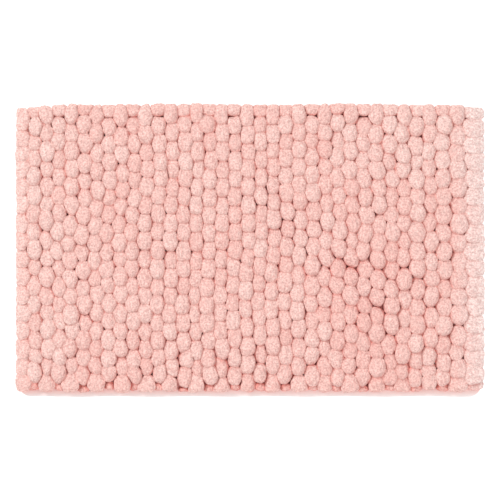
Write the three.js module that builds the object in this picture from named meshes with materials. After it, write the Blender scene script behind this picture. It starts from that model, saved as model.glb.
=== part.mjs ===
// A pink chunky bath mat, lying flat, in millimetres.
// +X runs along the mat's length, +Y across its width and +Z up from the floor.
// The origin is on the floor, under the middle of the mat.
//
// The whole mat is one closed solid: a thin flat ground cloth below, and on it the fat yarn
// loops of the pile, which stand in straight columns across the width. Each column is half
// a loop out of step with the columns beside it, as bricks are, so every loop is pressed into
// a six-sided cushion. The cloth's hem shows as a narrow flat ledge along the front edge.
import * as THREE from 'three';

// Driving dimensions
const MAT_LENGTH = 800;
const MAT_WIDTH = 500;
const CLOTH_HEIGHT = 2.4; // the ground cloth with its hem turned under
const CLOTH_INSET = 3; // how far the pile hangs out over the ground cloth at the two ends
const CLOTH_BACK_INSET = 11; // and along the back edge, which dips at its corners
const TUCK = 4; // from the cloth's edge in to the feet of the outermost loops
const FRONT_TUCK = 2; // from the rim of the front loops in to their feet
const CROWN_HEIGHT = 25; // from the floor to the top of a loop
const CROWN_SPREAD = 1.2; // how much taller or shorter one loop is than the next
const GROOVE_HEIGHT = 15; // where two loops meet
const RIM_HEIGHT = 11; // the widest point of the outermost loops
const SHOULDER_DROP = 4; // the outermost loops lean out, so they stand lower

// Columns of loops, counted from the left end, and rows, counted from the back edge. The
// columns grow a little wider to the right, and the last one is rolled out over the edge.
const COLUMNS = 36;
const HALF_ROWS = 32; // 16 loops in each column
const FIRST_PITCH = 20.8;
const PITCH_GROWTH = 0.0632; // added to each column's width after the first
const ROW_STEP = 15.3;
const BACK_TUCK = 2.8; // the first loops are this much shorter, as they roll over the edge

// The shape of one loop, as shares of its cell, and how far it bulges into its neighbours
const CROWN_HALF_WIDTH = 0.25;
const CROWN_HALF_LENGTH = 0.3;
const BULGE = 1.8;

// How far the hand-fed lines of loops wander from a true grid
const COLUMN_WANDER = 2.2;
const ROW_WANDER = 3.2;
const EDGE_CALM = 90; // the wander dies away over this distance from the mat's outline
const CORNER_INSET = 5.5; // each corner is rounded in by this much along both sides
const FRONT_SAG = 11; // the rows hang towards the front at the right of the mat
const BACK_WAVE = 0.8; // the back edge waves by this much either way
const BACK_LEFT_DIP = 8; // and it falls away towards its two corners
const BACK_RIGHT_DIP = 6;

const columnsBefore = (line) => FIRST_PITCH * line + PITCH_GROWTH * line * (line - 1) / 2;
const lineX = (line) => (line === COLUMNS ? MAT_LENGTH : columnsBefore(line)) - MAT_LENGTH / 2;
const stepY = (step) => MAT_WIDTH / 2 - (step === 0 ? 0 : BACK_TUCK + step * ROW_STEP);

// 0 at the start and 1 at the end, with a soft change between
function ease(value, start, end) {
  const t = Math.min(1, Math.max(0, (value - start) / (end - start)));
  return t * t * (3 - 2 * t);
}

// How far the back edge falls short of straight
function backDip(x) {
  const waves = BACK_WAVE * (1 + Math.sin(x / 45 + 1));
  return waves + BACK_LEFT_DIP * ease(x, -310, -400) + BACK_RIGHT_DIP * ease(x, 330, 400);
}

// A repeatable number from -1 to 1 for each loop
function uneven(column, step) {
  const turn = Math.sin(column * 12.9898 + step * 78.233) * 437.585;
  return 2 * (turn - Math.floor(turn)) - 1;
}

// Where a point of the true grid really lies, after the slow wander of the lines
function wander(x, y) {
  const inFromSide = MAT_LENGTH / 2 - Math.abs(x);
  const inFromEdge = MAT_WIDTH / 2 - Math.abs(y);
  const calm = Math.min(1, inFromSide / EDGE_CALM) * Math.min(1, inFromEdge / EDGE_CALM);
  const across = Math.sin(y / 61 + x / 170) + 0.6 * Math.sin(y / 29 - x / 95 + 1.3);
  const along = Math.sin(x / 83 + 0.7) + 0.7 * Math.sin(x / 37 - y / 120);
  const sag = FRONT_SAG * ease(x, 40, 330) * ease(y, 60, -200);
  const dip = backDip(x) * ease(y, 120, MAT_WIDTH / 2);
  return [x + COLUMN_WANDER * calm * across, y + calm * (ROW_WANDER * along - sag) - dip];
}

// Every second column has its first full loop at the back edge, and the others a half loop
const startsCell = (column, step) => (column + step) % 2 === 0;

// Collects the vertices and triangles of the solid
const positions = [];
const triangles = [];

function addVertex(x, y, z) {
  positions.push(x, y, z);
  return positions.length / 3 - 1;
}

function addTriangle(a, b, c) {
  triangles.push(a, b, c);
}

// The corners of the loops: line is the column border they lie on, step the half row. A border
// point moves towards the column that has a joint there, pushed by the loop on its other side.
function loopCorner(line, step) {
  const atSide = line === 0 || line === COLUMNS;
  const atEdge = step === 0 || step === HALF_ROWS;
  if (atEdge) {
    const inset = atSide ? CORNER_INSET : 0;
    const x = lineX(line) - Math.sign(lineX(line)) * inset;
    const y = step === 0 ? stepY(step) - backDip(x) - inset : stepY(step) + inset;
    return addVertex(x, y, RIM_HEIGHT);
  }
  if (atSide) {
    const inward = line === 0 ? 1 : -1;
    const edgeColumn = line === 0 ? 0 : COLUMNS - 1;
    const scallop = startsCell(edgeColumn, step) ? BULGE * inward : 0;
    return addVertex(lineX(line) + scallop, stepY(step), RIM_HEIGHT);
  }
  const push = startsCell(line, step) ? BULGE : -BULGE;
  const [x, y] = wander(lineX(line), stepY(step));
  return addVertex(x + push, y, GROOVE_HEIGHT);
}

const corners = [];
for (let line = 0; line <= COLUMNS; line += 1) {
  corners.push([]);
  for (let step = 0; step <= HALF_ROWS; step += 1) {
    corners[line].push(loopCorner(line, step));
  }
}

// One loop: four crown vertices over the middle of its cell, joined to the rim of the cell.
// The rim runs anticlockwise seen from above, and nearest names the crown vertex by each.
function addLoop(column, firstStep, lastStep) {
  const right = corners[column + 1];
  const left = corners[column];
  const rim = [];
  const nearest = [];
  for (let step = lastStep; step >= firstStep; step -= 1) {
    rim.push(right[step]);
    nearest.push(step > firstStep ? 0 : 1);
  }
  for (let step = firstStep; step <= lastStep; step += 1) {
    rim.push(left[step]);
    nearest.push(step < lastStep ? 2 : 3);
  }

  const middleX = (lineX(column) + lineX(column + 1)) / 2;
  const middleY = (stepY(firstStep) + stepY(lastStep)) / 2;
  const [centreX, centreY] = wander(middleX, middleY);
  const halfWidth = CROWN_HALF_WIDTH * (lineX(column + 1) - lineX(column));
  const halfLength = CROWN_HALF_LENGTH * (lastStep - firstStep) * ROW_STEP;
  const outermost = column === 0 || column === COLUMNS - 1
    || firstStep === 0 || lastStep === HALF_ROWS;
  const top = CROWN_HEIGHT + CROWN_SPREAD * uneven(column, firstStep)
    - (outermost ? SHOULDER_DROP : 0);
  const crown = [
    addVertex(centreX + halfWidth, centreY - halfLength, top),
    addVertex(centreX + halfWidth, centreY + halfLength, top),
    addVertex(centreX - halfWidth, centreY + halfLength, top),
    addVertex(centreX - halfWidth, centreY - halfLength, top),
  ];
  addTriangle(crown[0], crown[1], crown[2]);
  addTriangle(crown[0], crown[2], crown[3]);

  rim.forEach((vertex, n) => {
    const next = (n + 1) % rim.length;
    addTriangle(vertex, rim[next], crown[nearest[n]]);
    if (nearest[next] !== nearest[n]) {
      addTriangle(crown[nearest[n]], rim[next], crown[nearest[next]]);
    }
  });
}

for (let column = 0; column < COLUMNS; column += 1) {
  let firstStep = 0;
  while (firstStep < HALF_ROWS) {
    const whole = startsCell(column, firstStep) && firstStep + 2 <= HALF_ROWS;
    const lastStep = firstStep + (whole ? 2 : 1);
    addLoop(column, firstStep, lastStep);
    firstStep = lastStep;
  }
}

// The outline, anticlockwise seen from above: up the right end, along the back edge, down the
// left end and along the front edge
const outline = [];
for (let step = HALF_ROWS; step > 0; step -= 1) outline.push([COLUMNS, step]);
for (let line = COLUMNS; line > 0; line -= 1) outline.push([line, 0]);
for (let step = 0; step < HALF_ROWS; step += 1) outline.push([0, step]);
for (let line = 0; line < COLUMNS; line += 1) outline.push([line, HALF_ROWS]);

// A point of the ground cloth's straight edge, moved in from it by a margin
function clothPoint(line, step, margin) {
  const atSide = line === 0 || line === COLUMNS;
  const atEdge = step === 0 || step === HALF_ROWS;
  const inset = atSide && atEdge ? CORNER_INSET : 0;
  const back = MAT_WIDTH / 2 - CLOTH_BACK_INSET - margin - inset;
  const front = margin === 0 ? -MAT_WIDTH / 2 + inset : stepY(HALF_ROWS) + FRONT_TUCK + inset;
  const end = MAT_LENGTH / 2 - CLOTH_INSET - margin - inset;
  const x = atSide ? Math.sign(lineX(line)) * end : lineX(line);
  const y = atEdge ? (step === 0 ? back : front) : Math.min(back, stepY(step));
  return [x, y];
}

const ringOf = (margin, height) => outline.map(
  ([line, step]) => addVertex(...clothPoint(line, step, margin), height),
);
const rimRing = outline.map(([line, step]) => corners[line][step]);
const tuckRing = ringOf(TUCK, CLOTH_HEIGHT);
const edgeRing = ringOf(0, CLOTH_HEIGHT);
const footRing = ringOf(0, 0);

function addWall(lower, upper) {
  lower.forEach((vertex, n) => {
    const next = (n + 1) % lower.length;
    addTriangle(vertex, lower[next], upper[next]);
    addTriangle(vertex, upper[next], upper[n]);
  });
}
addWall(tuckRing, rimRing);
addWall(edgeRing, tuckRing);
addWall(footRing, edgeRing);

// The flat underside, as a fan about the middle
const middle = addVertex(0, 0, 0);
footRing.forEach((vertex, n) => {
  addTriangle(middle, footRing[(n + 1) % footRing.length], vertex);
});

const geometry = new THREE.BufferGeometry();
geometry.setAttribute('position', new THREE.Float32BufferAttribute(positions, 3));
geometry.setIndex(triangles);
geometry.computeVertexNormals();

const loopPile = new THREE.MeshStandardMaterial({ color: 0xefbeb4, roughness: 0.95, metalness: 0 });
loopPile.flatShading = true;
const mat = new THREE.Mesh(geometry, loopPile);
mat.name = 'mat';

const bathMat = new THREE.Group();
bathMat.add(mat);

export default bathMat;
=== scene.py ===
"""A pale pink bath mat with a thick pile of plump yarn loops, lying flat on the floor.

Metres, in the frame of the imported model: +X along the mat, +Y towards its back edge, +Z up.
"""
import math
import random

import bmesh
import bpy
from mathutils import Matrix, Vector


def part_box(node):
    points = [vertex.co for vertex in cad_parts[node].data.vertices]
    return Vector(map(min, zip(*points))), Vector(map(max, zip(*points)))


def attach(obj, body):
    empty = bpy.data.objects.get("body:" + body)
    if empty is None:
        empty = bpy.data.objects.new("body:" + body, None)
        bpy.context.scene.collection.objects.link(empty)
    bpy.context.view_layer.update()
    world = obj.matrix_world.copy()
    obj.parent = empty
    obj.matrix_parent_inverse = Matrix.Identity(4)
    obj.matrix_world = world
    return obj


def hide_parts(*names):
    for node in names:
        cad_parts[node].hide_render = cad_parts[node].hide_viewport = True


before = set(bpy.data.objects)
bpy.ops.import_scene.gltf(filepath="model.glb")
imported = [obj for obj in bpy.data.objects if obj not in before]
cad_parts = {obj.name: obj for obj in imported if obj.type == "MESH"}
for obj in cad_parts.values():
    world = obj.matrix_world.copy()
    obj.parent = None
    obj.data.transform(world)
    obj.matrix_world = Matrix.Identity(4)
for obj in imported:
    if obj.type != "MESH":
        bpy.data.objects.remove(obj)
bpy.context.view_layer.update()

# ---------------------------------------------------------------------------------------
# The lay of the pile. The loops stand in straight columns across the mat, and each column is
# half a loop out of step with the next, as bricks are. They were fed by hand, so the lines
# wander, and they lie loosest at the left end and along the front edge.
# ---------------------------------------------------------------------------------------
mat_low, mat_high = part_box("mat")
LENGTH = mat_high.x - mat_low.x
WIDTH = mat_high.y - mat_low.y
PILE_TOP = mat_high.z - 0.0012  # room for the uneven filling of the loops
CLOTH_TOP = 0.0022
COLUMNS = 36
FIRST_PITCH = 0.0208
PITCH_GROWTH = 0.0000632  # each column is this much wider than the one before
PITCH_UNEVEN = 0.0008
PITCH_UNEVEN_SLOW = 0.0005
HALF_ROWS = 32
HALF_ROW = 0.0153
BACK_TUCK = 0.0028  # the first loops are this much shorter, as they roll over the edge
chance = random.Random(20)


def line_x(line):
    """The border before a column, counted from the left end."""
    if line in (0, COLUMNS):
        return -LENGTH / 2 if line == 0 else LENGTH / 2
    uneven = PITCH_UNEVEN * math.sin(2.4 * line) + PITCH_UNEVEN_SLOW * math.sin(1.1 * line)
    return FIRST_PITCH * line + PITCH_GROWTH * line * (line - 1) / 2 - LENGTH / 2 + uneven


def step_y(step):
    """A half row's line, counted from the back edge."""
    return WIDTH / 2 if step == 0 else WIDTH / 2 - BACK_TUCK - step * HALF_ROW


def ease(value, start, end):
    """0 at start and 1 at end, with a soft change between."""
    t = min(1, max(0, (value - start) / (end - start)))
    return t * t * (3 - 2 * t)


# How the back edge and the lines stray. A span is where an effect begins and where it is full.
BACK_WAVE = 0.0008
BACK_WAVE_PACE = 0.045
LEFT_CORNER_DIP = 0.008
LEFT_CORNER_SPAN = (-0.31, -0.40)
RIGHT_CORNER_DIP = 0.006
RIGHT_CORNER_SPAN = (0.33, 0.40)
DIP_SPAN_Y = (0.12, WIDTH / 2)
EDGE_CALM = 0.09
COLUMN_WANDER = 0.0022
ROW_WANDER = 0.0032
SAG = 0.011
SAG_SPAN_X = (0.04, 0.33)
SAG_SPAN_Y = (0.06, -0.2)


def back_dip(x):
    """How far the back edge falls short of straight, most at its two corners."""
    waves = BACK_WAVE * (1 + math.sin(x / BACK_WAVE_PACE + 1.0))
    left = LEFT_CORNER_DIP * ease(x, *LEFT_CORNER_SPAN)
    right = RIGHT_CORNER_DIP * ease(x, *RIGHT_CORNER_SPAN)
    return waves + left + right


def wander(x, y):
    """How far the lines of loops stray from a true grid at a point, in slow uneven waves."""
    calm = min(1, (LENGTH / 2 - abs(x)) / EDGE_CALM) * min(1, (WIDTH / 2 - abs(y)) / EDGE_CALM)
    across = math.sin(y / 0.061 + x / 0.17) + 0.6 * math.sin(y / 0.029 - x / 0.095 + 1.3)
    along = math.sin(x / 0.083 + 0.7) + 0.7 * math.sin(x / 0.037 - y / 0.12)
    sag = -SAG * ease(x, *SAG_SPAN_X) * ease(y, *SAG_SPAN_Y)
    dip = back_dip(x) * ease(y, *DIP_SPAN_Y)
    return COLUMN_WANDER * calm * across, ROW_WANDER * calm * along + calm * sag - dip


# A slanting band right of the middle, in which the loops stand a little apart
BAND_X = 0.02
BAND_Y = 0.085
BAND_FALL = 0.78  # how steeply the band falls to the right
BAND_SLANT = 1.27  # how much further it is across the band along Y than square to it
BAND_SPAN = (0.015, 0.065)
BAND_START_SPAN = (-0.03, 0.04)
BAND_END_SPAN = (0.3, 0.22)


def openness(x, y):
    """How far apart the loops stand at a point, from 0 to 1 in the middle of the band."""
    away = abs(y - BAND_Y + BAND_FALL * (x - BAND_X)) / BAND_SLANT
    return (1 - ease(away, *BAND_SPAN)) * ease(x, *BAND_START_SPAN) * ease(x, *BAND_END_SPAN)


# How loosely the loops lie in each part of the mat
LEAST_LOOSE = 0.18
LEFT_LOOSE = 0.4
LEFT_LOOSE_SPAN = (-0.17, -0.28)
LEFT_FRONT_LOOSER = 0.2
LEFT_FRONT_SPAN_Y = (0.05, -0.1)
RIGHT_LOOSE = 0.5
RIGHT_LOOSE_SPAN = (0.03, 0.18)
FRONT_LOOSE = 0.9
FRONT_LOOSE_SPAN_Y = (-0.13, -0.19)


def looseness(x, y):
    """From 0, where the loops stand like laid bricks, to 1, where they tumble."""
    left = LEFT_LOOSE + LEFT_FRONT_LOOSER * ease(y, *LEFT_FRONT_SPAN_Y)
    left *= ease(x, *LEFT_LOOSE_SPAN)
    right = RIGHT_LOOSE * ease(x, *RIGHT_LOOSE_SPAN)
    front = FRONT_LOOSE * ease(y, *FRONT_LOOSE_SPAN_Y)
    return max(LEAST_LOOSE, left, right, front)


# How the tone of the loops changes over the mat, as shares of the way from the yarn's dark
# pink to its pale pink
LEFT_PALER_TONE = 0.25
LEFT_PALER_TONE_SPAN = (-0.27, -0.37)
CORNER_PALER_TONE = 0.3
CORNER_PALER_TONE_SPAN_X = (0.1, 0.27)
CORNER_PALER_TONE_SPAN_Y = (0.06, 0.16)
DARK_PATCH = 0.3
DARK_PATCH_X = 0.2
DARK_PATCH_SPAN_X = (0.02, 0.1)
DARK_PATCH_SPAN_Y = (0.06, -0.03)


def tone_over_mat(x, y):
    """Paler at the left end and the back right corner, and darker right of the middle."""
    left = LEFT_PALER_TONE * ease(x, *LEFT_PALER_TONE_SPAN)
    corner = CORNER_PALER_TONE * ease(x, *CORNER_PALER_TONE_SPAN_X) * ease(y, *CORNER_PALER_TONE_SPAN_Y)
    beside = 1 - ease(abs(x - DARK_PATCH_X), *DARK_PATCH_SPAN_X)
    patch = DARK_PATCH * beside * ease(y, *DARK_PATCH_SPAN_Y)
    return left + corner - patch


# How one loop differs from the next. Each measure has a part for a neat loop and a part that
# grows with its looseness.
STRAY = 0.0019
STRAY_ACROSS_NEAT = 0.1
STRAY_ALONG_NEAT = 0.6
LIFT_NEAT = 0.4
LIFT_LOOSE = 0.8
LIFT_MOST = 0.9
LIFT_HEIGHT = 0.0024  # from a middling loop to one of lift 1
WEIGHT_SPREAD = 0.08
WEIGHT_NEAT = 0.4
WEIGHT_OF_LIFT = 0.03
TURN_NEAT = 3  # degrees
TURN_LOOSE = 14
TURN_OPEN = 16
NOD_ACROSS = 0.0012
NOD_ALONG = 0.0014
GRAIN_SPREAD = 8  # degrees
TINT_MIDDLE = 0.45
TINT_OF_LIFT = 0.15
TINT_SPREAD = 0.13

# The outline of a loop: a power of 2 is round, and more is squarer
SQUARE = 3.0
SQUARE_MIDDLE_X = -0.02
SQUARE_SPAN = (0.08, 0.2)
ROUNDER_AWAY = 0.5
ROUNDER_HIGH = 0.4
ROUNDER_OPEN = 0.5
SHORTER_HIGH = 0.07
ROUND_LEFT_SPAN = (-0.1, -0.22)
ROUND_RIGHT_SPAN = (0.03, 0.12)
FULLER_LEFT = 0.06
FULLER_RIGHT = 0.03
MIDDLE_SHARE = 0.4  # how far up a loop its widest part is

# The two end columns, whose strands run along the mat and roll over its ends
END_TURN_SHARE = 0.3
END_TOP = 0.0215
END_TOP_RIGHT = 0.0018
END_LIFT = -0.8
END_LIFT_RIGHT = 0.6
END_SPAN = (0, 0.3)
END_SQUARE = 3.4
END_REACH = 1.2

# The half loops of the back and front edges, and the whole loops that spread at the front
HALF_LOOP_LOOSE = 0.4
BACK_HALF_DROP = 0.003
FRONT_SPREAD = 1.3
FRONT_HALF_WEIGHT = 0.65
FRONT_HALF_TOP = 0.016
FRONT_HALF_LIFT = -1.2
FRONT_HALF_TINT = 0.1


class Loop:
    """One yarn loop: where it stands, how big it is, how it turns and how high it lies."""

    def __init__(self, column, first, last):
        self.column = column
        self.first = first
        self.whole = last - first == 2
        x = (line_x(column) + line_x(column + 1)) / 2
        y = (step_y(first) + step_y(last)) / 2
        loose = looseness(x, y)
        if not self.whole:
            loose *= HALF_LOOP_LOOSE
        dx, dy = wander(x, y)
        self.x = x + dx + chance.gauss(0, STRAY) * (STRAY_ACROSS_NEAT + loose)
        self.y = y + dy + chance.gauss(0, STRAY) * (STRAY_ALONG_NEAT + loose)
        self.open = openness(x, y)
        self.half_width = (line_x(column + 1) - line_x(column)) / 2
        self.half_length = (step_y(first) - step_y(last)) / 2
        self.lift = chance.uniform(-1, 1) * min(LIFT_MOST, LIFT_NEAT + LIFT_LOOSE * loose)
        spread = chance.uniform(-WEIGHT_SPREAD, WEIGHT_SPREAD)
        self.weight = 1 + spread * (WEIGHT_NEAT + loose) + WEIGHT_OF_LIFT * self.lift
        turn = chance.gauss(0, TURN_NEAT + TURN_LOOSE * loose) + TURN_OPEN * self.open
        self.turn = math.radians(turn)
        self.top = PILE_TOP - LIFT_HEIGHT + LIFT_HEIGHT * self.lift
        self.nod = Vector((chance.gauss(0, NOD_ACROSS), chance.gauss(0, NOD_ALONG), 0))
        self.square = SQUARE - ROUNDER_AWAY * ease(abs(x - SQUARE_MIDDLE_X), *SQUARE_SPAN)
        self.square -= ROUNDER_HIGH * self.lift + ROUNDER_OPEN * self.open
        self.reach = 1 - SHORTER_HIGH * self.lift + FULLER_LEFT * ease(x, *ROUND_LEFT_SPAN)
        self.reach += FULLER_RIGHT * ease(x, *ROUND_RIGHT_SPAN)
        tint = chance.gauss(TINT_MIDDLE + TINT_OF_LIFT * self.lift, TINT_SPREAD)
        self.tint = min(1, max(0, tint + tone_over_mat(x, y)))
        self.grain = self.turn + math.radians(chance.gauss(0, GRAIN_SPREAD))
        self.end_column = column in (0, COLUMNS - 1)
        if self.end_column:
            self.turn *= END_TURN_SHARE
            self.top = END_TOP + END_TOP_RIGHT * ease(x, *END_SPAN)
            self.lift = END_LIFT + END_LIFT_RIGHT * ease(x, *END_SPAN)
            self.grain += math.pi / 2
            self.square = END_SQUARE
            self.reach = END_REACH
        if first == 0 and not self.whole:
            self.top -= BACK_HALF_DROP
        if last == HALF_ROWS and self.whole:
            self.half_width *= FRONT_SPREAD
        if last == HALF_ROWS and not self.whole:
            self.weight = FRONT_HALF_WEIGHT
            self.top = FRONT_HALF_TOP
            self.lift = FRONT_HALF_LIFT
            self.tint = FRONT_HALF_TINT

    @property
    def middle(self):
        """The height of the loop's widest part."""
        return CLOTH_TOP + (self.top - CLOTH_TOP) * MIDDLE_SHARE


loops = []
for column in range(COLUMNS):
    step = 0
    while step < HALF_ROWS:
        span = 2 if (column + step) % 2 == 0 and step + 2 <= HALF_ROWS else 1
        loops.append(Loop(column, step, step + span))
        step += span

# ---------------------------------------------------------------------------------------
# The loops. Each is a fat bundle of soft cotton strands that comes up through the ground
# cloth, arches over and goes down again. It would be an egg if it stood alone, but the loops
# are packed so close that each is pressed flat against those round it.
# ---------------------------------------------------------------------------------------
REACH_ACROSS = 1.36  # a loop left free would be this much wider than its place in the column
REACH_ALONG = 1.34
FIRMNESS = 20  # how sharply a loop bends from its free shape into the flat of a contact
CROWN_ROUND = 2.3
SMOOTHNESS = 2
SMOOTHING_ROUNDS = 3
ZIGZAG = 0.28
ZIGZAG_LEFT = 0.42
ZIGZAG_RIGHT = 0.34
CREVICE = -0.0003  # the gap between two loops, which overlap a little where it is negative
CREVICE_OPEN = 0.0005
END_OVERLAP = 0.0008  # the end columns are rolled over their neighbours by this much more
LEAST_GAP = 0.001
LEAN = 0.58  # how far a high loop leans over a low one
BRUSHED_WAY = Vector((0.3, -0.95, 0))  # the pile lies towards the front, a loop over the next
OVER = 0.0037
UNDER = 0.0004
WEDGE = 0.24  # each loop is highest on the side that it is brushed to
NEAR = 0.048
CORNER_CUT = 0.0075
LEG_PINCH = 0.05
END_SLOPE = 0.4


def loop_shape():
    """The loop's cage before it is pressed: a closed cube of a few dozen faces."""
    shape = bmesh.new()
    bmesh.ops.create_cube(shape, size=2)
    bmesh.ops.subdivide_edges(shape, edges=shape.edges[:], cuts=2, use_grid_fill=True)
    under = [face for face in shape.faces if face.normal.z < -0.9]
    bmesh.ops.dissolve_faces(shape, faces=under, use_verts=False)
    mesh = bpy.data.meshes.new("loop_shape")
    shape.to_mesh(mesh)
    shape.free()
    return mesh


def zigzag(x):
    """How far the border between two columns bends round their loops, most at the left."""
    left = ZIGZAG_LEFT * ease(x, *ROUND_LEFT_SPAN)
    return ZIGZAG + left + ZIGZAG_RIGHT * ease(x, *ROUND_RIGHT_SPAN)


def contacts(loop):
    """The flat faces that press on a loop: (direction out of the loop, distance)."""
    found = []
    for other in loops:
        if other is loop or math.hypot(other.x - loop.x, other.y - loop.y) > NEAR:
            continue
        across, along = other.x - loop.x, other.y - loop.y
        slant = zigzag((loop.x + other.x) / 2)
        facing = Vector((across, along * slant, 0)).normalized()
        facing.z = -LEAN * (loop.lift - other.lift) / 2
        facing.normalize()
        share = loop.weight / (loop.weight + other.weight)
        gap = facing.x * across * share + facing.y * along * share
        shingled = facing.dot(BRUSHED_WAY)
        gap += OVER * max(0, shingled) ** 2 - UNDER * max(0, -shingled) ** 2
        if loop.end_column != other.end_column:
            gap += END_OVERLAP
        found.append((facing, gap - CREVICE - CREVICE_OPEN * loop.open))
    corner = Vector((math.copysign(1, loop.x), math.copysign(1, loop.y), 0)).normalized()
    corner_gap = (LENGTH / 2 - abs(loop.x) + WIDTH / 2 - abs(loop.y)) / math.sqrt(2)
    for facing, gap in (
        (corner, corner_gap - CORNER_CUT),
        (Vector((1, 0, 0)), LENGTH / 2 - loop.x),
        (Vector((-1, 0, 0)), LENGTH / 2 + loop.x),
        (Vector((0, 1, 0)), WIDTH / 2 - back_dip(loop.x) - loop.y),
        (Vector((0, -1, 0)), loop.y - step_y(HALF_ROWS)),
        (Vector((0, 0, -1)), loop.middle - CLOTH_TOP),
    ):
        if gap < NEAR:
            found.append((facing, gap))
    return found


def pressed(loop, faces, corner):
    """Where a corner of the cage goes once the loop is pressed by its neighbours."""
    width = loop.half_width * REACH_ACROSS * loop.weight * loop.reach
    length = loop.half_length * REACH_ALONG * loop.weight * loop.reach
    height = loop.top - loop.middle
    even = [math.tan(part * math.pi / 4) for part in corner]
    way = Vector((even[0] * width, even[1] * length, even[2] * height)).normalized()
    plan = abs(way.x / width) ** loop.square + abs(way.y / length) ** loop.square
    crown = plan ** (CROWN_ROUND / loop.square) + abs(way.z / height) ** CROWN_ROUND
    free = crown ** (1 / CROWN_ROUND)
    cos, sin = math.cos(loop.turn), math.sin(loop.turn)
    way = Vector((way.x * cos - way.y * sin, way.x * sin + way.y * cos, way.z))
    total = free ** FIRMNESS
    for facing, gap in faces:
        towards = facing.dot(way)
        if towards > 0:
            total += (towards / max(gap, LEAST_GAP)) ** FIRMNESS
    place = way * total ** (-1 / FIRMNESS)
    depth = max(0, -place.z / (loop.middle - CLOTH_TOP))
    pinch = 1 - LEG_PINCH * depth
    nod = loop.nod * max(0, place.z / height) ** 2
    centre = Vector((loop.x, loop.y, loop.middle))
    point = centre + nod + Vector((place.x * pinch, place.y * pinch, place.z))
    if point.z > loop.middle:
        rise = WEDGE * BRUSHED_WAY.dot(point - centre) / loop.half_length
        point.z = loop.middle + (point.z - loop.middle) * (1 + rise)
    if loop.end_column and point.z > loop.middle:
        outward = ease(abs(point.x), LENGTH / 2 - 2 * loop.half_width, LENGTH / 2)
        point.z = loop.middle + (point.z - loop.middle) * (1 - END_SLOPE * outward)
    return point


def around(shape):
    """For each corner of the cage, the corners along its edges and across its faces."""
    cage = bmesh.new()
    cage.from_mesh(shape)
    ring = []
    for vert in cage.verts:
        beside = [edge.other_vert(vert).index for edge in vert.link_edges]
        across = []
        for face in vert.link_faces:
            across += [v.index for v in face.verts if v is not vert and v.index not in beside]
        ring.append((beside, across) if len(across) == len(beside) else None)
    cage.free()
    return ring


def let_out(wanted, ring):
    """Lets the cage out, so that its smoothed surface passes through the wanted places."""
    cage = [place.copy() for place in wanted]
    for _ in range(SMOOTHING_ROUNDS):
        moves = []
        for place, target, near in zip(cage, wanted, ring):
            if near is None:
                moves.append(Vector())
                continue
            # Where the Subdivision Surface modifier puts a corner at which n faces meet
            n = len(near[0])
            smooth = n * n * place
            smooth += 4 * sum((cage[i] for i in near[0]), Vector())
            smooth += sum((cage[i] for i in near[1]), Vector())
            moves.append(target - smooth / (n * (n + 5)))
        cage = [place + move for place, move in zip(cage, moves)]
    return cage


# Where painted light makes the yarn paler at the mat's ends, and painted shade makes it darker
# and redder low between the loops, as shares that the material mixes by
LEFT_PALE = 0.12
LEFT_PALE_SPAN = (-0.388, -0.399)
RIGHT_PALE = 0.4
RIGHT_PALE_SPAN = (0.346, 0.385)
RIGHT_RIM_PALE = 0.35
RIGHT_RIM_SPAN = (0.388, 0.401)
DEPTH_SPAN = (0.0078, 0.0148)  # down from the top of the pile
OUTER_SIDE_SPAN = (0.002, 0.01)  # in from the mat's outline


def end_painted_light(x):
    """Painted light: the ends of the mat are painted paler, the right one most, which also
    lightens the shaded crease beside the right end column.
    """
    right = RIGHT_PALE * ease(x, *RIGHT_PALE_SPAN) + RIGHT_RIM_PALE * ease(x, *RIGHT_RIM_SPAN)
    return max(LEFT_PALE * ease(x, *LEFT_PALE_SPAN), right)


def crease_shade_of(place):
    """Painted shade: from 0 on the tops of the loops to 1 low between them, but not on the
    outer sides.
    """
    inside = min(LENGTH / 2 - abs(place.x), WIDTH / 2 - back_dip(place.x) - place.y)
    return ease(PILE_TOP - place.z, *DEPTH_SPAN) * ease(inside, *OUTER_SIDE_SPAN)


STRAND_RADIUS = 0.011  # the strands run along a loop, round a line this far below its skin
STRAND_LINE_DROP = 0.004
COLUMN_OFFSET = 0.31  # each loop has another stretch of the strand pattern
ROW_OFFSET = 0.17
LUMP_DEPTH = 0.002
STRAND_DEPTH = 0.0015
lump_texture = bpy.data.textures.new("lumps", "CLOUDS")
lump_texture.noise_scale = 0.009
lump_texture.noise_depth = 0
strand_texture = bpy.data.textures.new("strands", "CLOUDS")
strand_texture.noise_scale = 0.0042
strand_texture.noise_depth = 1


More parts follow.
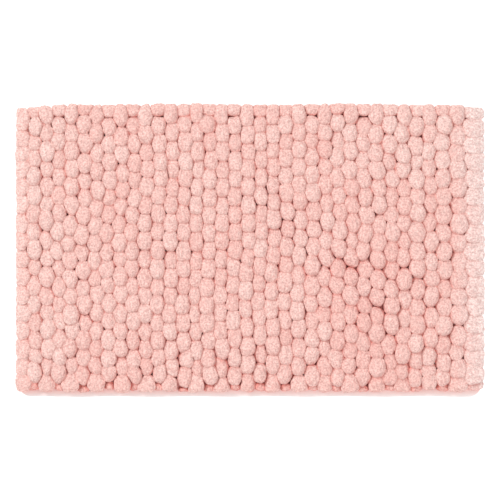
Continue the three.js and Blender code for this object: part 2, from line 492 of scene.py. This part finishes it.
def pile_piece(name, members, shape, material):
    """Joins the pressed loops of some columns into one piece."""
    pile = bmesh.new()
    ring = around(shape)
    strand = pile.loops.layers.uv.new("strand")
    tint = pile.verts.layers.float.new("tint")
    depth = pile.verts.layers.float.new("depth")
    end_light_share = pile.verts.layers.float.new("end_light_share")
    for loop in members:
        faces = contacts(loop)
        first_vert = len(pile.verts)
        first_face = len(pile.faces)
        pile.from_mesh(shape)
        pile.verts.ensure_lookup_table()
        pile.faces.ensure_lookup_table()
        corners = pile.verts[first_vert:]
        wanted = [pressed(loop, faces, vert.co) for vert in corners]
        for vert, target, place in zip(corners, wanted, let_out(wanted, ring)):
            vert.co = place
            vert[tint] = loop.tint
            # Painted shade low between the loops, and painted light towards the mat's ends
            vert[depth] = crease_shade_of(target)
            vert[end_light_share] = end_painted_light(target.x)
        cos, sin = math.cos(loop.grain), math.sin(loop.grain)
        offset = Vector((loop.column * COLUMN_OFFSET, loop.first * ROW_OFFSET))
        for face in pile.faces[first_face:]:
            face.smooth = True
            for corner in face.loops:
                out = corner.vert.co - Vector((loop.x, loop.y, loop.middle))
                across = out.x * cos + out.y * sin
                along = out.y * cos - out.x * sin
                above = max(out.z + STRAND_LINE_DROP, 0.001)
                round_it = math.atan2(across, above) * STRAND_RADIUS
                corner[strand].uv = Vector((round_it, along)) + offset
    mesh = bpy.data.meshes.new(name)
    pile.to_mesh(mesh)
    pile.free()
    piece = bpy.data.objects.new(name, mesh)
    bpy.context.collection.objects.link(piece)
    mesh.materials.append(material)
    smooth = piece.modifiers.new("round the loops", "SUBSURF")
    smooth.levels = SMOOTHNESS
    smooth.render_levels = SMOOTHNESS
    for finish, texture, strength in (
        ("uneven filling", lump_texture, LUMP_DEPTH),
        ("uneven strands", strand_texture, STRAND_DEPTH),
    ):
        uneven = piece.modifiers.new(finish, "DISPLACE")
        uneven.texture = texture
        uneven.texture_coords = "LOCAL"
        uneven.strength = strength
        uneven.mid_level = 0.5
    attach(piece, "root")
    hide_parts("mat")
    return piece


# The yarn's colours. The painted crease shade and the speckle are what the colour is
# multiplied by.
DARK_PINK = (0.915, 0.535, 0.485, 1)
PALE_PINK = (0.94, 0.645, 0.595, 1)
# Painted shade: what the colour is multiplied by low in the creases, darker and redder
CREASE_PAINTED_SHADE = (1.03, 0.60, 0.56, 1)
# Painted light: the pale colour that the mat's ends are mixed towards
END_PAINTED_LIGHT = (1.0, 0.86, 0.83, 1)
SPECKLE_DARK = (0.82, 0.71, 0.70, 1)
SPECKLE_PALE = (1.11, 1.23, 1.225, 1)


def yarn_material():
    """Soft brushed cotton: pale pink, matte, with fine strands and a little fuzz."""
    material = bpy.data.materials.new("brushed_pink_yarn")
    material.use_nodes = True
    nodes, links = material.node_tree.nodes, material.node_tree.links
    shader = nodes["Principled BSDF"]
    shader.inputs["Roughness"].default_value = 0.92
    shader.inputs["Specular IOR Level"].default_value = 0.15
    shader.inputs["Sheen Weight"].default_value = 0.25
    shader.inputs["Sheen Roughness"].default_value = 0.5
    shader.inputs["Sheen Tint"].default_value = (1.0, 0.86, 0.83, 1)

    uv = nodes.new("ShaderNodeUVMap")
    uv.uv_map = "strand"
    stretch = nodes.new("ShaderNodeMapping")
    stretch.inputs["Scale"].default_value = (420, 90, 1)
    links.new(uv.outputs["UV"], stretch.inputs["Vector"])
    strands = nodes.new("ShaderNodeTexNoise")
    strands.inputs["Scale"].default_value = 1.0
    strands.inputs["Detail"].default_value = 2.0
    strands.inputs["Roughness"].default_value = 0.6
    links.new(stretch.outputs["Vector"], strands.inputs["Vector"])

    place = nodes.new("ShaderNodeTexCoord")
    fuzz = nodes.new("ShaderNodeTexNoise")
    fuzz.inputs["Scale"].default_value = 520
    fuzz.inputs["Detail"].default_value = 3.0
    fuzz.inputs["Roughness"].default_value = 0.7
    links.new(place.outputs["Object"], fuzz.inputs["Vector"])

    tint = nodes.new("ShaderNodeAttribute")
    tint.attribute_name = "tint"
    tone = nodes.new("ShaderNodeValToRGB")
    tone.color_ramp.elements[0].position = 0.0
    tone.color_ramp.elements[0].color = DARK_PINK
    tone.color_ramp.elements[1].position = 1.0
    tone.color_ramp.elements[1].color = PALE_PINK
    links.new(tint.outputs["Fac"], tone.inputs["Fac"])

    # Painted shade: darker and redder low between the loops
    depth = nodes.new("ShaderNodeAttribute")
    depth.attribute_name = "depth"
    crease_shade = nodes.new("ShaderNodeMix")
    crease_shade.data_type = "RGBA"
    crease_shade.blend_type = "MULTIPLY"
    crease_shade.inputs["B"].default_value = CREASE_PAINTED_SHADE
    links.new(depth.outputs["Fac"], crease_shade.inputs["Factor"])
    links.new(tone.outputs["Color"], crease_shade.inputs["A"])

    # Painted light: paler towards the ends of the mat
    end_light_share = nodes.new("ShaderNodeAttribute")
    end_light_share.attribute_name = "end_light_share"
    painted_light_mix = nodes.new("ShaderNodeMix")
    painted_light_mix.data_type = "RGBA"
    painted_light_mix.inputs["B"].default_value = END_PAINTED_LIGHT
    links.new(end_light_share.outputs["Fac"], painted_light_mix.inputs["Factor"])
    links.new(crease_shade.outputs["Result"], painted_light_mix.inputs["A"])

    grains = nodes.new("ShaderNodeTexNoise")
    grains.inputs["Scale"].default_value = 330
    grains.inputs["Detail"].default_value = 3.0
    grains.inputs["Roughness"].default_value = 0.65
    links.new(place.outputs["Object"], grains.inputs["Vector"])
    speckle = nodes.new("ShaderNodeValToRGB")
    speckle.color_ramp.elements[0].position = 0.36
    speckle.color_ramp.elements[0].color = SPECKLE_DARK
    speckle.color_ramp.elements[1].position = 0.64
    speckle.color_ramp.elements[1].color = SPECKLE_PALE
    links.new(grains.outputs["Fac"], speckle.inputs["Fac"])
    brushed = nodes.new("ShaderNodeMix")
    brushed.data_type = "RGBA"
    brushed.blend_type = "MULTIPLY"
    brushed.inputs["Factor"].default_value = 1.0
    links.new(painted_light_mix.outputs["Result"], brushed.inputs["A"])
    links.new(speckle.outputs["Color"], brushed.inputs["B"])

    shade = nodes.new("ShaderNodeMapRange")
    shade.inputs["From Min"].default_value = 0.3
    shade.inputs["From Max"].default_value = 0.7
    shade.inputs["To Min"].default_value = 0.87
    shade.inputs["To Max"].default_value = 1.13
    links.new(strands.outputs["Fac"], shade.inputs["Value"])
    striped = nodes.new("ShaderNodeMix")
    striped.data_type = "RGBA"
    striped.blend_type = "MULTIPLY"
    striped.inputs["Factor"].default_value = 1.0
    links.new(brushed.outputs["Result"], striped.inputs["A"])
    links.new(shade.outputs["Result"], striped.inputs["B"])
    links.new(striped.outputs["Result"], shader.inputs["Base Color"])

    height = nodes.new("ShaderNodeMath")
    height.operation = "MULTIPLY_ADD"
    height.inputs[1].default_value = 0.6
    links.new(fuzz.outputs["Fac"], height.inputs[0])
    links.new(strands.outputs["Fac"], height.inputs[2])
    bump = nodes.new("ShaderNodeBump")
    bump.inputs["Strength"].default_value = 0.8
    bump.inputs["Distance"].default_value = 0.004
    links.new(height.outputs["Value"], bump.inputs["Height"])
    links.new(bump.outputs["Normal"], shader.inputs["Normal"])
    return material


COLUMNS_PER_PIECE = 6
yarn = yarn_material()
cage = loop_shape()
for start in range(0, COLUMNS, COLUMNS_PER_PIECE):
    members = [loop for loop in loops if start <= loop.column < start + COLUMNS_PER_PIECE]
    name = f"loop_columns_{start + 1}_to_{start + COLUMNS_PER_PIECE}"
    pile_piece(name, members, cage, yarn)
bpy.data.meshes.remove(cage)

# ---------------------------------------------------------------------------------------
# The ground cloth. A plain woven cotton cloth, cut a little larger than the mat, with its
# edge turned under as a flat hem, which shows along the front. The loops are sewn through it.
# ---------------------------------------------------------------------------------------
HEM_WIDTH = 0.012
CORNER_ROUND = 0.02
CLOTH_THICK = 0.0008
FOLD = 0.0006
CLOTH_LEVEL = CLOTH_TOP - CLOTH_THICK / 2 + 0.0001  # just into the feet of the loops
CLOTH_MIDDLE_Y = -0.0067
HALF_CLOTH_X = LENGTH / 2 - 0.0035
HALF_CLOTH_Y = WIDTH / 2 - 0.0053
CLOTH_CELLS_X = 44
CLOTH_CELLS_Y = 30
HEM_WAVE = 0.0006
HEM_WAVE_PACE = 0.021
HEM_WAVE_SPAN_Y = (-0.22, -0.25)
LEDGE_SPAN_Y = (-0.234, -0.241)
RIM_SPAN_Y = (-0.2425, -0.2515)
WEAVE_DARK = (1.0, 0.74, 0.70, 1)
WEAVE_PALE = (1.0, 0.84, 0.81, 1)
# Painted shade: the dark colour of the cloth under the pile
PAINTED_SHADE_UNDER_PILE = (0.80, 0.28, 0.25, 1)
# Painted light: the hem's front rim is painted nearly white, fading into the bright floor
RIM_PAINTED_LIGHT = (1.0, 0.95, 0.94, 1)


def core_of(x, y):
    """The nearest point of the cloth's core, inside which no corner is rounded."""
    core_x = max(CORNER_ROUND - HALF_CLOTH_X, min(HALF_CLOTH_X - CORNER_ROUND, x))
    core_y = max(CORNER_ROUND - HALF_CLOTH_Y, min(HALF_CLOTH_Y - CORNER_ROUND, y))
    return Vector((core_x, core_y, 0))


def cloth_material():
    """Plain weave, paler than the yarn, but painted dark deep pink as shade where the pile
    stands over it, and painted near white along the front rim.
    """
    material = bpy.data.materials.new("pink_plain_weave")
    material.use_nodes = True
    nodes, links = material.node_tree.nodes, material.node_tree.links
    shader = nodes["Principled BSDF"]
    shader.inputs["Roughness"].default_value = 0.9
    shader.inputs["Specular IOR Level"].default_value = 0.2
    shader.inputs["Sheen Weight"].default_value = 0.2

    place = nodes.new("ShaderNodeTexCoord")
    weave = []
    for direction in ("X", "Y"):
        threads = nodes.new("ShaderNodeTexWave")
        threads.bands_direction = direction
        threads.inputs["Scale"].default_value = 190
        threads.inputs["Distortion"].default_value = 0.6
        threads.inputs["Detail Scale"].default_value = 120
        links.new(place.outputs["Object"], threads.inputs["Vector"])
        weave.append(threads)
    crossed = nodes.new("ShaderNodeMath")
    crossed.operation = "MULTIPLY"
    links.new(weave[0].outputs["Fac"], crossed.inputs[0])
    links.new(weave[1].outputs["Fac"], crossed.inputs[1])
    tone = nodes.new("ShaderNodeValToRGB")
    tone.color_ramp.elements[0].color = WEAVE_DARK
    tone.color_ramp.elements[1].color = WEAVE_PALE
    links.new(crossed.outputs["Value"], tone.inputs["Fac"])

    ledge = nodes.new("ShaderNodeAttribute")
    ledge.attribute_name = "ledge"
    lie = nodes.new("ShaderNodeNewGeometry")
    upward = nodes.new("ShaderNodeSeparateXYZ")
    links.new(lie.outputs["Normal"], upward.inputs["Vector"])
    below = nodes.new("ShaderNodeMath")
    below.operation = "LESS_THAN"
    below.inputs[1].default_value = 0.0
    links.new(upward.outputs["Z"], below.inputs[0])
    open_to_view = nodes.new("ShaderNodeMath")
    open_to_view.operation = "MAXIMUM"
    links.new(ledge.outputs["Fac"], open_to_view.inputs[0])
    links.new(below.outputs["Value"], open_to_view.inputs[1])
    # Painted shade: the top of the cloth is painted dark under the pile, but not on the front
    # ledge or underneath
    painted_light_mix = nodes.new("ShaderNodeMix")
    painted_light_mix.data_type = "RGBA"
    painted_light_mix.inputs["A"].default_value = PAINTED_SHADE_UNDER_PILE
    links.new(open_to_view.outputs["Value"], painted_light_mix.inputs["Factor"])
    links.new(tone.outputs["Color"], painted_light_mix.inputs["B"])

    rim = nodes.new("ShaderNodeAttribute")
    rim.attribute_name = "rim"
    # Painted light: whitens the front rim of the hem
    rim_lit = nodes.new("ShaderNodeMix")
    rim_lit.data_type = "RGBA"
    rim_lit.inputs["B"].default_value = RIM_PAINTED_LIGHT
    links.new(rim.outputs["Fac"], rim_lit.inputs["Factor"])
    links.new(painted_light_mix.outputs["Result"], rim_lit.inputs["A"])
    links.new(rim_lit.outputs["Result"], shader.inputs["Base Color"])

    bump = nodes.new("ShaderNodeBump")
    bump.inputs["Strength"].default_value = 0.6
    bump.inputs["Distance"].default_value = 0.0008
    links.new(crossed.outputs["Value"], bump.inputs["Height"])
    links.new(bump.outputs["Normal"], shader.inputs["Normal"])
    return material


def corner_order(part):
    """A number that puts the cloth's edges or faces in the order of their corners."""
    corners = [vert.index for vert in part.verts]
    return min(corners) * len(cloth.verts) + max(corners)


# The flat of the cloth, whose cells are narrower towards its edge and follow its round corners
cloth = bmesh.new()
bmesh.ops.create_grid(cloth, x_segments=CLOTH_CELLS_X, y_segments=CLOTH_CELLS_Y, size=1)
for vert in cloth.verts:
    flat = Vector((
        math.sin(vert.co.x * math.pi / 2) * HALF_CLOTH_X,
        math.sin(vert.co.y * math.pi / 2) * HALF_CLOTH_Y,
        0,
    ))
    core = core_of(flat.x, flat.y)
    past = (flat - core) / CORNER_ROUND
    rounded = Vector((
        past.x * math.sqrt(1 - past.y ** 2 / 2),
        past.y * math.sqrt(1 - past.x ** 2 / 2),
        0,
    ))
    vert.co = core + rounded * CORNER_ROUND
    vert.co.z = CLOTH_LEVEL

# The hem: half round in four steps, and then flat, back under the cloth
turns = [math.radians(45 * step) for step in range(1, 5)]
hem_path = [(FOLD * math.sin(turn), FOLD * (1 - math.cos(turn))) for turn in turns]
hem_path += [(-HEM_WIDTH / 2, 2 * FOLD), (-HEM_WIDTH, 2 * FOLD)]
hem_edges = [edge for edge in cloth.edges if edge.is_boundary]
for out, down in hem_path:
    grown = bmesh.ops.extrude_edge_only(cloth, edges=hem_edges)["geom"]
    grown_edges = [part for part in grown if isinstance(part, bmesh.types.BMEdge)]
    hem_edges = [edge for edge in grown_edges if edge.is_boundary]
    for vert in {corner for edge in hem_edges for corner in edge.verts}:
        core = core_of(vert.co.x, vert.co.y)
        way = (vert.co.xy.to_3d() - core).normalized()
        vert.co = core + way * (CORNER_ROUND + out)
        vert.co.z = CLOTH_LEVEL - down
for vert in cloth.verts:
    vert.co.y += CLOTH_MIDDLE_Y
    wave = HEM_WAVE * math.sin(vert.co.x / HEM_WAVE_PACE)
    vert.co.y += wave * ease(vert.co.y, *HEM_WAVE_SPAN_Y)
# The ledge share keeps the painted shade off the front ledge; the rim share is where painted
# light whitens the hem's rim
ledge_share = cloth.verts.layers.float.new("ledge")
rim_share = cloth.verts.layers.float.new("rim")
for vert in cloth.verts:
    vert[ledge_share] = ease(vert.co.y, *LEDGE_SPAN_Y)
    vert[rim_share] = ease(vert.co.y, *RIM_SPAN_Y)

# An extrusion makes its faces in an order of its own, so they are put in a fixed one
cloth.verts.index_update()
cloth.edges.sort(key=corner_order)
cloth.faces.sort(key=corner_order)
bmesh.ops.recalc_face_normals(cloth, faces=cloth.faces[:])
for face in cloth.faces:
    face.smooth = True
cloth_mesh = bpy.data.meshes.new("ground_cloth")
cloth.to_mesh(cloth_mesh)
cloth.free()
ground = bpy.data.objects.new("ground_cloth", cloth_mesh)
bpy.context.collection.objects.link(ground)
cloth_mesh.materials.append(cloth_material())
thick = ground.modifiers.new("cloth thickness", "SOLIDIFY")
thick.thickness = CLOTH_THICK
thick.offset = 0
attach(ground, "root")
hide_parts("mat")

# ---------------------------------------------------------------------------------------
# The stitches under the cloth. Where a strand has gone down at the end of one loop, it runs a
# few millimetres under the cloth and comes up again as the next loop. It lies there squashed
# flat, and the mat stands on it.
# ---------------------------------------------------------------------------------------
STITCH_LENGTH = 0.011
STITCH_SHARE = 0.62  # of the width of the loop that it comes from
STITCH_LOW = 0.0002
STITCH_HIGH = CLOTH_LEVEL
STITCH_CORNER = 1.12
STITCH_SIDE_HEIGHT = 0.6
STITCHED_X = HALF_CLOTH_X - 2 * HEM_WIDTH
STITCHED_Y = HALF_CLOTH_Y - 1.6 * HEM_WIDTH


def stitch_shape():
    """A small flat pad with rounded sides."""
    shape = bmesh.new()
    bmesh.ops.create_cube(shape, size=2)
    bmesh.ops.subdivide_edges(shape, edges=shape.edges[:], cuts=1, use_grid_fill=True)
    for vert in shape.verts:
        flat = vert.co.xy
        if flat.length > 1:
            flat = flat.normalized() * STITCH_CORNER
        level = vert.co.z * (1 if flat.length < 0.5 else STITCH_SIDE_HEIGHT)
        vert.co = Vector((flat.x, flat.y, level))
    for face in shape.faces:
        face.smooth = True
    mesh = bpy.data.meshes.new("stitch_shape")
    shape.to_mesh(mesh)
    shape.free()
    return mesh


stitch = stitch_shape()
stitches = bmesh.new()
for here, after in zip(loops, loops[1:]):
    x, y = (here.x + after.x) / 2, (here.y + after.y) / 2
    if here.column != after.column or abs(x) > STITCHED_X:
        continue
    if abs(y - CLOTH_MIDDLE_Y) > STITCHED_Y:
        continue
    first_vert = len(stitches.verts)
    stitches.from_mesh(stitch)
    stitches.verts.ensure_lookup_table()
    middle = Vector((x, y, (STITCH_LOW + STITCH_HIGH) / 2))
    for vert in stitches.verts[first_vert:]:
        vert.co.x *= here.half_width * STITCH_SHARE
        vert.co.y *= STITCH_LENGTH / 2
        vert.co.z *= (STITCH_HIGH - STITCH_LOW) / 2
        vert.co += middle
stitch_mesh = bpy.data.meshes.new("stitches_under_cloth")
stitches.to_mesh(stitch_mesh)
stitches.free()
bpy.data.meshes.remove(stitch)
under = bpy.data.objects.new("stitches_under_cloth", stitch_mesh)
bpy.context.collection.objects.link(under)
stitch_mesh.materials.append(yarn)
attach(under, "root")
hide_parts("mat")

# ---------------------------------------------------------------------------------------
# The room: a plain white floor, soft and faintly rosy light from all round, a large soft lamp
# at the back left, a weaker one overhead at the front right, and the camera straight above.
# ---------------------------------------------------------------------------------------
FLOOR_HALF = 6
FLOOR_WHITE = (0.88, 0.88, 0.88, 1)
FLOOR_GLOW = 0.4
ROOM_LIGHT = (1.0, 0.955, 0.945, 1)
ROOM_STRENGTH = 0.67
CAMERA_HEIGHT = 2.39

floor_shape = bmesh.new()
bmesh.ops.create_grid(floor_shape, x_segments=1, y_segments=1, size=FLOOR_HALF)
floor_mesh = bpy.data.meshes.new("floor")
floor_shape.to_mesh(floor_mesh)
floor_shape.free()
floor = bpy.data.objects.new("floor", floor_mesh)
bpy.context.collection.objects.link(floor)
floor_paint = bpy.data.materials.new("floor_paint")
floor_paint.use_nodes = True
paint = floor_paint.node_tree.nodes["Principled BSDF"].inputs
paint["Base Color"].default_value = FLOOR_WHITE
paint["Roughness"].default_value = 0.9
paint["Emission Color"].default_value = (1, 1, 1, 1)
paint["Emission Strength"].default_value = FLOOR_GLOW
floor_mesh.materials.append(floor_paint)

world = bpy.data.worlds.new("studio")
world.use_nodes = True
world.node_tree.nodes["Background"].inputs["Color"].default_value = ROOM_LIGHT
world.node_tree.nodes["Background"].inputs["Strength"].default_value = ROOM_STRENGTH
bpy.context.scene.world = world


def lamp(name, place, power, size):
    """A large soft lamp, aimed at the middle of the mat."""
    light = bpy.data.lights.new(name, "AREA")
    light.energy = power
    light.size = size
    holder = bpy.data.objects.new(name, light)
    holder.location = place
    holder.rotation_euler = (-Vector(place)).to_track_quat("-Z", "Y").to_euler()
    bpy.context.collection.objects.link(holder)


lamp("key", place=(-2.8, 2.5, 2.9), power=100, size=1.2)
lamp("overhead", place=(0.7, -0.9, 2.9), power=31, size=0.9)

camera_data = bpy.data.cameras.new("camera")
camera_data.lens = 100
camera = bpy.data.objects.new("camera", camera_data)
camera.location = (0, 0, CAMERA_HEIGHT)
bpy.context.collection.objects.link(camera)
bpy.context.scene.camera = camera
bpy.context.scene.view_settings.view_transform = "Standard"
